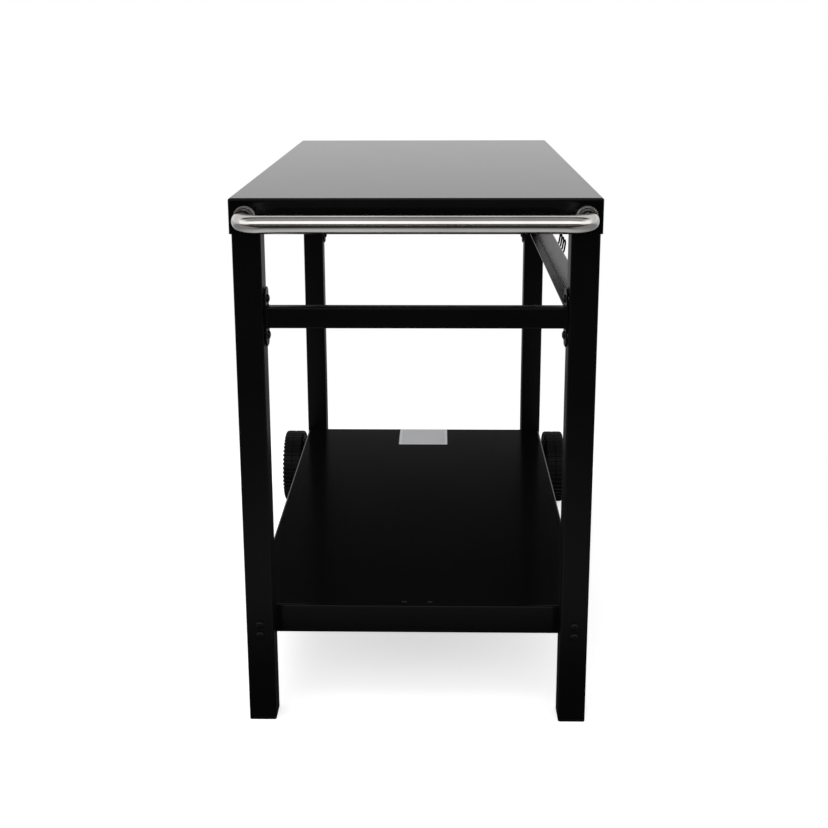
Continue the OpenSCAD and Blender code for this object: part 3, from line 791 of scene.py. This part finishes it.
@dataclass(frozen=True)
class Wheel:
    """A ribbed tyre on a moulded rim."""

    side: str
    ribs: int = 48
    groove: float = 5.2 * MM
    groove_depth: float = 2.0 * MM
    groove_reach: float = 2.5 * MM
    groove_fade: float = 1.5 * MM
    groove_flank: float = 0.45 * MM
    centre_groove: float = 2.4 * MM
    centre_depth: float = 1.0 * MM
    centre_flank: float = 0.3 * MM
    shoulder: float = 5.5 * MM
    tyre_depth: float = 17 * MM
    overlap: float = 0.05 * MM
    sunk: float = 0.1 * MM
    bead: float = 0.6 * MM
    bead_step: float = 3.2 * MM
    wall_step: float = 2.2 * MM
    wall_slope: float = 2.5 * MM
    wall_lean: float = 1.0 * MM
    ring_height: float = 0.45 * MM
    low_ring: Pair = (3 * MM, 0.7 * MM)
    high_ring: Pair = (4.5 * MM, 0.6 * MM)
    spokes: int = 6
    bore: float = 5.08 * MM
    hub: float = 16 * MM
    hub_length: float = 28 * MM
    web_half: float = 2.5 * MM
    spoke_half: float = 2.5 * MM
    spoke_height: float = 7 * MM
    rim_wall: float = 5 * MM
    # Where each flank starts, measured outwards from its part's edge, and its width
    hub_flank: Pair = (-0.7 * MM, 1.4 * MM)
    spoke_flank: Pair = (-0.4 * MM, 1.2 * MM)
    wall_flank: Pair = (-0.9 * MM, 1.6 * MM)

    @property
    def body(self) -> str:
        """The CAD body that turns."""
        return self.side + "_wheel"

    def tyre_section(self, outer: float, half: float) -> np.ndarray:
        """The tyre's section: bead, sidewall with two raised rings, step out to the shoulder, and crown.

        The rings rise as h exp(-(d / w)^2) at a distance d from their middle. Each is given by its distance
        from the bead or from the shoulder, and by w. The step is a smooth one, the shoulder a quarter circle,
        and the crown has a groove with sloping flanks round its middle.

        Args:
            outer: The tyre's radius.
            half: Half its width.

        Returns:
            Rows of radius and place across the tyre, from one bead over the crown to the other.
        """
        inner, r, sunk = outer - self.tyre_depth + self.overlap, self.shoulder, self.sunk
        wall = np.linspace(inner + self.bead, outer - r, 24)[:-1]
        (low, low_width), (high, high_width) = self.low_ring, self.high_ring
        rings = self.ring_height * (np.exp(-((wall - inner - low) / low_width) ** 2)
                                    + np.exp(-((wall - outer + r + high) / high_width) ** 2))
        gap = outer - r - wall
        slope = self.wall_step * ease(gap / self.wall_slope) + self.wall_lean * gap / (outer - r - inner)
        bead = [(inner, self.bead + self.bead_step + sunk - half)]
        turn, part = np.radians(np.linspace(0, 90, 12)), np.linspace(0, 1, 12)
        corner = np.column_stack([outer - r + r * np.sin(turn),
                                  r - half - (r - sunk * (1 - part)) * np.cos(turn)])
        slot, flank, margin = self.centre_groove / 2, self.centre_flank, 0.8 * MM
        across = np.concatenate([np.linspace(r - half, -slot - margin, 7)[1:],
                                 (-slot - flank, -slot, flank - slot)])
        across = np.concatenate([across, [0.0], -across[::-1]])
        dip = self.centre_depth * np.clip((slot + flank - np.abs(across)) / (2 * flank), 0, 1)
        lower = np.concatenate([bead, np.column_stack([wall, sunk - half - rings + slope]), corner])
        return np.concatenate([lower, np.column_stack([outer - dip, across]), lower[::-1] * (1, -1),
                               [(inner, 0.0)]])

    def tyre(self) -> Piece:
        """Skins the tyre.

        Round the tyre the surface sinks along its section's normal by the groove's depth wherever the angle
        lies in a groove, with sloping flanks, from one sidewall over the crown to the other.

        Returns:
            The piece.
        """
        node = "wheel_%s_tyre" % self.side
        box = Box.of(node)
        outer, flank = box.size.z / 2, self.groove_flank
        section = self.tyre_section(outer, box.size.x / 2)
        run = np.roll(section, -1, axis=0) - np.roll(section, 1, axis=0)
        normal = np.column_stack([run[:, 1], -run[:, 0]]) / np.linalg.norm(run, axis=1)[:, None]
        angle, pitch = full_turn(self.ribs * 12), TURN / self.ribs
        off = np.abs(np.mod(angle, pitch) - pitch / 2) * outer
        cut = ease((self.groove / 2 + flank - off) / (2 * flank))
        start = outer - self.shoulder - self.groove_reach
        reach = np.clip((section[:, 0] - start) / self.groove_fade, 0, 1)
        sink = (self.groove_depth * reach)[:, None] * cut
        grid = around(section[:, :1] - normal[:, :1] * sink, angle, section[:, 1:] - normal[:, 1:] * sink)
        skin = Skin().add(placed(grid, box.middle, (1, 0, 0)), ring=True)
        return skin.build("fine_" + node, RUBBER, [node], self.body, smooth=40)

    def rim(self) -> Piece:
        """Skins the rim as two height fields back to back.

        Each face's height is the greatest of the hub, the spokes and the outer wall, each a plateau on the
        web: w + (h - w) ease((s + f - d) / f), with d the distance past the part's edge, s where its flank
        starts and f the flank's width.

        Returns:
            The piece.
        """
        node = "wheel_%s_rim" % self.side
        box, tyre = Box.of(node), Box.of("wheel_%s_tyre" % self.side)
        outside = 1 if self.side == "right" else -1
        seat, half = box.size.z / 2, tyre.size.x / 2
        centre = (tyre.middle.x, box.middle.y, box.middle.z)
        hub, web, inner = self.hub, self.web_half, seat - self.rim_wall
        # Rows gather where the height changes fastest, at the edges of the hub and of the outer wall
        marks = (self.bore, hub - 1.2 * MM, hub + 1.6 * MM, inner - 1.8 * MM, inner + MM, seat)
        radius = np.unique(np.concatenate([
            np.linspace(start, end, count)
            for start, end, count in zip(marks, marks[1:], (6, 12, 16, 12, 5))]))[:, None]
        angle, pitch = full_turn(self.spokes * 60), TURN / self.spokes
        swing = np.mod(angle + pitch / 2, pitch) - pitch / 2
        # Columns gather at the spokes' flanks for the same reason
        pull = swing - 0.55 * np.sin(swing * self.spokes) / self.spokes
        angle = angle - swing + pull
        off = np.abs(np.sin(pull)) * radius

        def plateau(past_edge: np.ndarray, top: float, flank: Pair) -> np.ndarray:
            """Height of the web with one part on it, from the distance past that part's edge."""
            start, width = flank
            return web + (top - web) * ease((start + width - past_edge) / width) * np.ones_like(angle)

        def face(hub_top: float) -> np.ndarray:
            """Height of one face above the wheel's middle plane.

            Args:
                hub_top: The hub's height on this face.

            Returns:
                The height at each point of the grid.
            """
            return np.maximum.reduce([
                plateau(radius - hub, hub_top, self.hub_flank),
                plateau(off - self.spoke_half, self.spoke_height, self.spoke_flank),
                plateau(inner - radius, half - self.shoulder, self.wall_flank)])

        rows = np.concatenate([around(radius, angle, outside * face(self.hub_length - half)),
                               around(radius[::-1], angle, -outside * face(half)[::-1])])
        skin = Skin().add(placed(rows, centre, (1, 0, 0)), ring=True)
        return skin.build("fine_" + node, PLASTIC, [node], self.body, smooth=48)

    def build(self) -> list[Piece]:
        """Builds both pieces."""
        return [self.tyre(), self.rim()]


@dataclass(frozen=True)
class Plates:
    """Two crossbar end plates with clipped corners and eased edges, and the weld bead round the bar."""

    node: str
    bar: str
    width: float = 30 * MM
    clip: float = 7.5 * MM
    edge: float = 0.35 * MM
    bead: float = 1.2 * MM
    bead_back: float = 0.3 * MM
    bead_spacing: float = 0.5 * MM
    ripple: float = 0.12
    ripples: int = 44

    def build(self) -> list[Piece]:
        """Skins the plates and the beads.

        A bead is a wire round the bar whose radius ripples as r (1 + k cos(n a)).

        Returns:
            The pieces.
        """
        box, bar = Box.of(self.node), Box.of(self.bar)
        thickness, edge = (box.size.x - bar.size.x) / 2, self.edge

        def outline(inset: float) -> np.ndarray:
            """The plate's outline, drawn in by an inset. Its clips shrink by about 2 - sqrt 2 of that.

            Args:
                inset: How far it is drawn in.

            Returns:
                Its eight corners.
            """
            w, h, c = self.width / 2 - inset, box.size.z / 2 - inset, self.clip - inset * 0.6
            return np.array([(w, c - h), (w, h - c), (w - c, h), (c - w, h), (-w, h - c), (-w, c - h),
                             (c - w, -h), (w - c, -h)])

        plate = raise_loops([(outline(edge), 0), (outline(0), edge), (outline(0), thickness - edge),
                             (outline(edge), thickness)])
        loop = densify(rounded_loop(bar.size.y, bar.size.z, BAR_CORNER), self.bead_spacing)
        loop = np.column_stack([np.full(len(loop), -self.bead_back), loop])
        size = self.bead * (1 + self.ripple * np.cos(self.ripples * full_turn(len(loop))))
        plates, beads = Skin(), Skin()
        for side in SIDES:
            origin = (bar.high.x * side, box.middle.y, box.middle.z)
            plates.add(np.roll(plate * (1, 1, side), 1, axis=-1) + origin)
            beads.add(sweep(loop * (side, 1, 1) + origin, size, (1, 0, 0), 10, closed=True), ring=True)
        return [plates.build("fine_" + self.node, POWDER_COAT, [self.node], smooth=20),
                beads.build("beads_" + self.bar, POWDER_COAT)]


@dataclass(frozen=True)
class RailCornerShade:
    """A thin dark bead in the tool rail's inner corner, in the legs' darker coat: a dark piece that stands in
    for the shade in that corner.
    """

    node: str = "tool_rail"
    flange: float = 13 * MM
    sheet: float = 2 * MM
    size: float = 1.3 * MM
    sunk: float = 0.4 * MM
    inset: float = 3 * MM

    def build(self) -> Piece:
        """Sweeps a thin round bead along the corner, with round ends.

        Returns:
            The piece.
        """
        box = Box.of(self.node)
        x, z = box.low.x + self.flange - self.sunk, box.low.z + self.sheet + self.sunk
        path = np.linspace((x, box.low.y + self.inset, z), (x, box.high.y - self.inset, z), 41)
        line, radius = round_ends(path, self.size)
        return Skin().add(sweep(line, radius, (0, 0, 1), 16)).build("rail_corner_shade", POWDER_COAT)


@dataclass(frozen=True)
class Label:
    """The bare foil label."""

    node: str = "label_plate"
    border: float = 5 * MM
    corner: float = 2.5 * MM
    face_corner: float = 1.5 * MM

    def build(self) -> list[Piece]:
        """Skins a thin plate with round corners and an eased edge, and the duller face inside its border.

        Returns:
            The pieces.
        """
        box = Box.of(self.node)
        height = box.size.z
        middle = (box.middle.x, box.middle.y, box.low.z)

        def sheet(inset: float, corner: float, low: float, high: float, edge: float) -> Skin:
            """A flat sheet with its upper edge eased.

            Args:
                inset: How far it is drawn in from the label's outline.
                corner: Its corner radius.
                low: Height of its lower face above the label's own.
                high: Height of its upper face.
                edge: Width and height of the eased edge.

            Returns:
                Its surface.
            """
            width, length = box.size.x - 2 * inset, box.size.y - 2 * inset
            wall = rounded_loop(width, length, corner, 7)
            top = rounded_loop(width - 2 * edge, length - 2 * edge, corner - 0.1 * MM, 7)
            return Skin().add(raise_loops([(wall, low), (wall, high - edge), (top, high)]) + middle)

        base = height * 0.8
        plate = sheet(0, self.corner, 0, base, height / 3)
        face = sheet(self.border, self.face_corner, base / 2, height, height / 6)
        return [plate.build("fine_label", FOIL, [self.node]), face.build("label_face", FOIL_FACE)]


@dataclass(frozen=True)
class Cart:
    """The whole cart."""

    side_bolt: float = 13 * MM
    bar_bolt: float = 14 * MM
    bar_bolt_rise: float = 26 * MM
    handle_bolt_past_leg: float = 12.2 * MM + SHEET
    shelf_bolt_past_leg: float = 8.6 * MM
    rail_sheet: float = 2 * MM

    def fasteners(self) -> None:
        """Builds every visible bolt at its place."""
        top, rail, tabs = Box.of("worktop"), Box.of("tool_rail"), Box.of("tool_rail_bolts")
        front, rear = Box.of("front_leg_right"), Box.of("rear_leg_right")
        leg_x, leg, rows = front.middle.x, front.size.y, (front.middle.y, rear.middle.y)
        side_z = (top.high.z - top.size.z / 3, top.high.z - 2 * top.size.z / 3)
        Bolts("worktop_bolts", self.side_bolt, FLAT_HEAD_HEIGHT).build(
            ((s * top.high.x, y, z), (s, 0, 0)) for s in SIDES for y in rows for z in side_z)
        handle_z = Box.of("handle_tube").middle.z
        Bolts("handle_bolts", leg + self.handle_bolt_past_leg).build(
            ((s * leg_x, front.high.y, handle_z), (0, 1, 0)) for s in SIDES)
        inner, plate_z = Box.of("front_crossbar").high.x, Box.of("front_crossbar_plates").middle.z
        for name, y in zip(("front_crossbar_bolts", "rear_crossbar_bolts"), rows):
            Bolts(name, self.bar_bolt).build(
                ((s * inner, y, plate_z + up * self.bar_bolt_rise), (-s, 0, 0))
                for s in SIDES for up in SIDES)
        tab_y = ((rail.low.y + self.rail_sheet, 1), (rail.high.y - self.rail_sheet, -1))
        Bolts("tool_rail_bolts", self.bar_bolt).build(
            ((tabs.middle.x, y, z), (0, way, 0)) for y, way in tab_y for z in self.head_heights(tabs))
        shelf_z = self.head_heights(Box.of("shelf_bolts"))
        leg_y = ((front.low.y, -1), (rear.high.y, 1))
        Bolts("shelf_bolts", leg + self.shelf_bolt_past_leg).build(
            ((s * leg_x, y, z), (0, way, 0)) for s in SIDES for y, way in leg_y for z in shelf_z)

    @staticmethod
    def head_heights(bolts: Box) -> Pair:
        """Heights of the lowest and the highest heads' middles in the box of some bolts."""
        return bolts.low.z + HEAD_RADIUS, bolts.high.z - HEAD_RADIUS

    def build(self) -> None:
        """Builds every detailed piece, and gives the kept CAD nodes their finish."""
        for node in ("worktop", "shelf"):
            Pan(node).build()
        for node in ("front_leg_left", "front_leg_right", "rear_leg_left", "rear_leg_right"):
            SquareTube(node, LEG_WALL, LEG_CORNER, 2).build()
        for node in ("front_foot_left", "front_foot_right", "rear_cap_left", "rear_cap_right"):
            LegCap(node).build()
        for node in ("front_crossbar", "rear_crossbar"):
            SquareTube(node, BAR_WALL, BAR_CORNER, 0).build()
            Plates(node + "_plates", node).build()
        Handle().build()
        for number in range(1, 5):
            Hook("hook_%d" % number).build()
        for side in ("left", "right"):
            Wheel(side).build()
        # A dark bead in the rail's inner corner stands in for the shade there.
        RailCornerShade().build()
        Label().build()
        self.fasteners()
        self.dress_nodes()

    def dress_nodes(self) -> None:
        """Gives the CAD nodes that stay in sight their finishes."""
        # The tool rail takes the lighter copy of the powder coat, whose greyer colour is painted sheen.
        finishes = {
            "worktop_channel": POWDER_COAT, "shelf_channel": POWDER_COAT, "tool_rail": RAIL_COAT_PAINTED_SHEEN,
            "shelf_rivets": BLACK_OXIDE, "axle_spacers": PLASTIC, "axle": ZINC, "axle_washers": ZINC,
            "axle_nuts": ZINC, "shelf_nuts": ZINC, "handle_plugs": ZINC, "worktop_inserts": ZINC,
            "front_crossbar_inserts": ZINC, "rear_crossbar_inserts": ZINC, "tool_rail_inserts": ZINC,
        }
        for node, finish in finishes.items():
            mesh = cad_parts[node].data
            mesh.materials.clear()
            mesh.materials.append(finish.material())
            log.info("%s: %s", node, finish.name)


# The studio

@dataclass(frozen=True)
class Studio:
    """Floor, surround, lamp and camera. Lengths are in metres and angles in degrees."""

    camera_place: Triple = (0.030826, -2.045222, 1.000145)
    pitch: float = 13.487
    yaw: float = -1.184
    roll: float = -0.188
    lens: float = 51.99
    shift_up: float = -0.111
    # Brightness of the surround at each tilt, ahead, at a slant and to the sides
    tilt_stops: tuple[Pair, ...] = (
        (0, 0.86), (8.5, 0.86), (10.5, 1.1), (12.5, 1.1), (15, 0.24), (18, 0.05), (22, 0.02), (30, 0.01),
        (33, 0.6), (38, 0.85), (60, 0.85), (64, 0.6), (67, 0.0), (80, 0.0), (84, 0.44), (112, 0.36),
        (124, 0.38), (128, 1.5), (132, 1.7), (154, 1.7), (160, 1.5), (164, 0.25), (168, 0.02), (177, 0.01))
    slant_stops: tuple[Pair, ...] = ((0, 0.8), (58, 0.8), (66, 0.0))
    side_stops: tuple[Pair, ...] = ((0, 0.8), (50, 0.85), (70, 1.3), (100, 1.45), (158, 1.5), (168, 0.7))
    # How far sideways a direction points where each of these starts and is full
    slant: Pair = (0.22, 0.42)
    side: Pair = (0.68, 0.95)
    # Floor: half its size, how bright its parts are, and where its zones start and end
    floor_half: float = 30.0
    floor_lit: float = 0.8
    floor_dull: float = 0.64
    glow_seen: float = 0.56
    floor_front: float = 0.03
    floor_side: float = 0.24
    floor_behind: float = 0.34
    side_x: Pair = (0.55, 0.95)
    side_y: Pair = (-2.4, -1.4)
    behind_y: Pair = (0.9, 2.4)
    mirror_reach: Pair = (0.2, 0.5)
    # Ellipses on the floor: middle, half sizes, and the shares of them where the change starts and ends
    seen_ring: tuple[Pair, Pair, Pair] = ((0, 0.05), (0.62, 0.95), (0.8, 1.35))
    mirrored_ring: tuple[Pair, Pair, Pair] = ((0, -0.25), (0.7, 1.0), (0.55, 1.75))
    lamp_size: Pair = (2.6, 1.6)
    lamp_power: float = 34
    lamp_place: Triple = (-0.5, -0.7, 2.6)
    lamp_aim: Triple = (0, 0, 0.3)

    def surround(self) -> None:
        """Paints the world by direction.

        The tilt atan2(z, y), from 0 behind the cart through 0.5 above it to 1 in front, picks the brightness
        that surfaces see. Towards the sides it runs over into a plainer course, and already at a slant the
        part behind the cart is no darker than a pale grey. The camera sees plain white.
        """
        world = bpy.data.worlds.new("surround")
        bpy.context.scene.world = world
        tree = empty_tree(world)
        direction = add_node(tree, "SeparateXYZ", add_node(tree, "TexCoord").outputs["Generated"]).outputs
        tilt = calculate(tree, "ARCTAN2", direction["Z"], direction["Y"])
        share = calculate(tree, "DIVIDE", tilt, math.pi)

        def by_tilt(stops: tuple[Pair, ...]) -> Node:
            """Grey that runs from stop to stop as the tilt grows.

            Args:
                stops: Tilts in degrees, each with its brightness.

            Returns:
                The node that gives the grey.
            """
            ramp = add_node(tree, "ValToRGB", share)
            while len(ramp.color_ramp.elements) < len(stops):
                ramp.color_ramp.elements.new(0.5)
            for element, (degrees, value) in zip(ramp.color_ramp.elements, stops):
                element.position = degrees / 180
                element.color = (value, value, value, 1)
            return ramp

        sideways = calculate(tree, "ABSOLUTE", direction["X"])
        ahead = add_node(tree, "Mix", data_type="RGBA", blend_type="LIGHTEN",
                         Factor=smooth_step(tree, sideways, *self.slant),
                         A=by_tilt(self.tilt_stops), B=by_tilt(self.slant_stops))
        whole = add_node(tree, "Mix", data_type="RGBA", Factor=smooth_step(tree, sideways, *self.side),
                         A=ahead, B=by_tilt(self.side_stops))
        mirrored = add_node(tree, "Background", Color=whole)
        seen = add_node(tree, "Background", Color=WHITE)
        by_camera = add_node(tree, "LightPath").outputs["Is Camera Ray"]
        add_node(tree, "OutputWorld", Surface=add_node(tree, "MixShader", by_camera, mirrored, seen))

    def floor_material(self) -> bpy.types.Material:
        """Makes the floor's material.

        Near the cart the floor is pale and lit, and takes the shadow. Away from it the camera sees it run
        over into the white surround. Glossy surfaces see it grow dark away from the cart, less so at its
        sides and behind it, as a studio's floor does past its lights, and dark in reflections that reach
        less than half a metre.

        Returns:
            The material.
        """
        material = bpy.data.materials.new("floor")
        material.cycles.emission_sampling = "NONE"
        tree = empty_tree(material)
        place = add_node(tree, "TexCoord").outputs["Object"]
        parts = add_node(tree, "SeparateXYZ", place).outputs
        rays = add_node(tree, "LightPath").outputs

        def matt(grey: float) -> Node:
            """A dull surface."""
            return add_node(tree, "BsdfDiffuse", Color=(grey, grey, grey, 1))

        def glow(strength: Input) -> Node:
            """A white light."""
            return add_node(tree, "Emission", Color=WHITE, Strength=strength)

        def outside(centre: Pair, size: Pair, shares: Pair) -> Node:
            """Mask that rises from 0 inside an ellipse to 1 outside it.

            Args:
                centre: The ellipse's middle on the floor.
                size: Half its width and half its length.
                shares: The shares of that size at which the change starts and ends.

            Returns:
                The mask.
            """
            moved = add_node(tree, "VectorMath", place, (*centre, 0), operation="SUBTRACT")
            scaled = add_node(tree, "VectorMath", moved, (*size, 1), operation="DIVIDE")
            return smooth_step(tree, add_node(tree, "VectorMath", scaled, operation="LENGTH"), *shares)

        def product(first: Input, second: Input) -> Node:
            """One value times another."""
            return calculate(tree, "MULTIPLY", first, second)

        near = add_node(tree, "AddShader", matt(self.floor_lit), glow(self.glow_seen))
        away = product(outside(*self.seen_ring), rays["Is Camera Ray"])
        seen = add_node(tree, "MixShader", away, near, glow(1.0))
        sideways = smooth_step(tree, calculate(tree, "ABSOLUTE", parts["X"]), *self.side_x)
        beside = product(product(sideways, smooth_step(tree, parts["Y"], *self.side_y)), self.floor_side)
        behind = product(smooth_step(tree, parts["Y"], *self.behind_y), self.floor_behind)
        dim = glow(calculate(tree, "ADD", calculate(tree, "ADD", self.floor_front, beside), behind))
        under = calculate(tree, "SUBTRACT", 1.0, outside(*self.mirrored_ring))
        # Reflections shorter than about half a metre see the dim glow instead of the lit floor: painted shade
        # in reflections close to the cart.
        lit = product(under, smooth_step(tree, rays["Ray Length"], *self.mirror_reach))
        mirrored = add_node(tree, "MixShader", lit, dim, matt(self.floor_dull))
        both = add_node(tree, "MixShader", rays["Is Glossy Ray"], seen, mirrored)
        add_node(tree, "OutputMaterial", Surface=both)
        return material

    def floor(self) -> None:
        """Lays the floor, one large square."""
        mesh, half = bpy.data.meshes.new("floor"), self.floor_half
        corners = [(-half, -half, 0), (half, -half, 0), (half, half, 0), (-half, half, 0)]
        mesh.from_pydata(corners, [], [(0, 1, 2, 3)])
        mesh.materials.append(self.floor_material())
        ground = put("floor", mesh)

    def lamp(self) -> None:
        """Hangs one large soft lamp above the cart, a little in front, that no mirror shows."""
        data = bpy.data.lights.new("overhead", "AREA")
        data.shape = "RECTANGLE"
        data.size, data.size_y = self.lamp_size
        data.energy = self.lamp_power
        lamp = put("overhead", data)
        place = Vector(self.lamp_place)
        turn = (Vector(self.lamp_aim) - place).to_track_quat("-Z", "Y")
        lamp.matrix_world = Matrix.Translation(place) @ turn.to_matrix().to_4x4()
        lamp.visible_camera = False
        lamp.visible_glossy = False

    def camera(self) -> None:
        """Sets the camera at the photograph's viewing angle."""
        pitch, yaw, roll = (math.radians(value) for value in (self.pitch, self.yaw, self.roll))
        level = math.cos(pitch)
        ahead = Vector((math.sin(yaw) * level, math.cos(yaw) * level, -math.sin(pitch)))
        right = Vector((math.cos(yaw), -math.sin(yaw), 0))
        across = right * math.cos(roll) + right.cross(ahead) * math.sin(roll)
        data = bpy.data.cameras.new("camera")
        data.sensor_width = 36
        data.lens = self.lens
        data.shift_y = self.shift_up
        data.clip_end = 100
        camera = put("camera", data)
        turn = Matrix((across, across.cross(ahead), -ahead)).transposed()
        camera.matrix_world = Matrix.Translation(Vector(self.camera_place)) @ turn.to_4x4()
        bpy.context.scene.camera = camera

    def build(self) -> None:
        """Sets the whole studio up."""
        scene = bpy.context.scene
        scene.view_settings.view_transform = "Standard"
        scene.view_settings.look = "None"
        self.surround()
        self.floor()
        self.lamp()
        self.camera()


def main() -> None:
    """Builds the dressed cart and its studio."""
    Cart().build()
    Studio().build()


if __name__ == "__main__":
    main()
